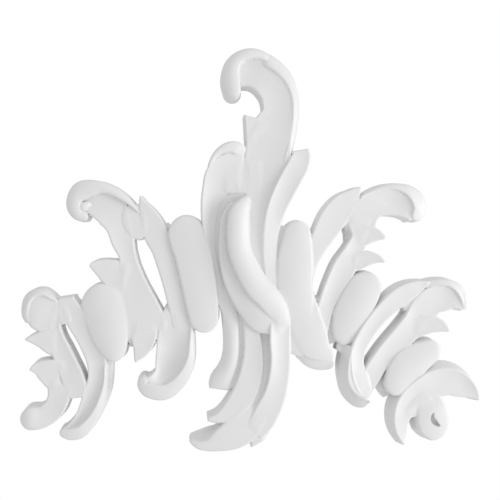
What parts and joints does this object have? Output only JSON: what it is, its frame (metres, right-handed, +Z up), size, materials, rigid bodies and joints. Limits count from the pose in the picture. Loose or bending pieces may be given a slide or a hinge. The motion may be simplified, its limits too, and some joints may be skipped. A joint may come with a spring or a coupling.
{
  "type": "rocaille centre onlay",
  "caption": "Cast white rococo onlay: asymmetric leaf scrolls with a curled crest, pierced wings, central roll and small volute, flat at the back for fixing to a panel.",
  "frame": {"origin": "on the flat back, at the middle of the ornament's width and height", "axes": "the relief faces -Y and the back faces +Y, +X runs to the right of someone looking at the front, +Z up"},
  "size_m": [0.42, 0.04, 0.366],
  "materials": {
    "white_casting": "factory-primed white polyurethane casting, satin-matt"
  },
  "bodies": {
    "root": {"onlay": "white_casting"}
  },
  "joints": []
}
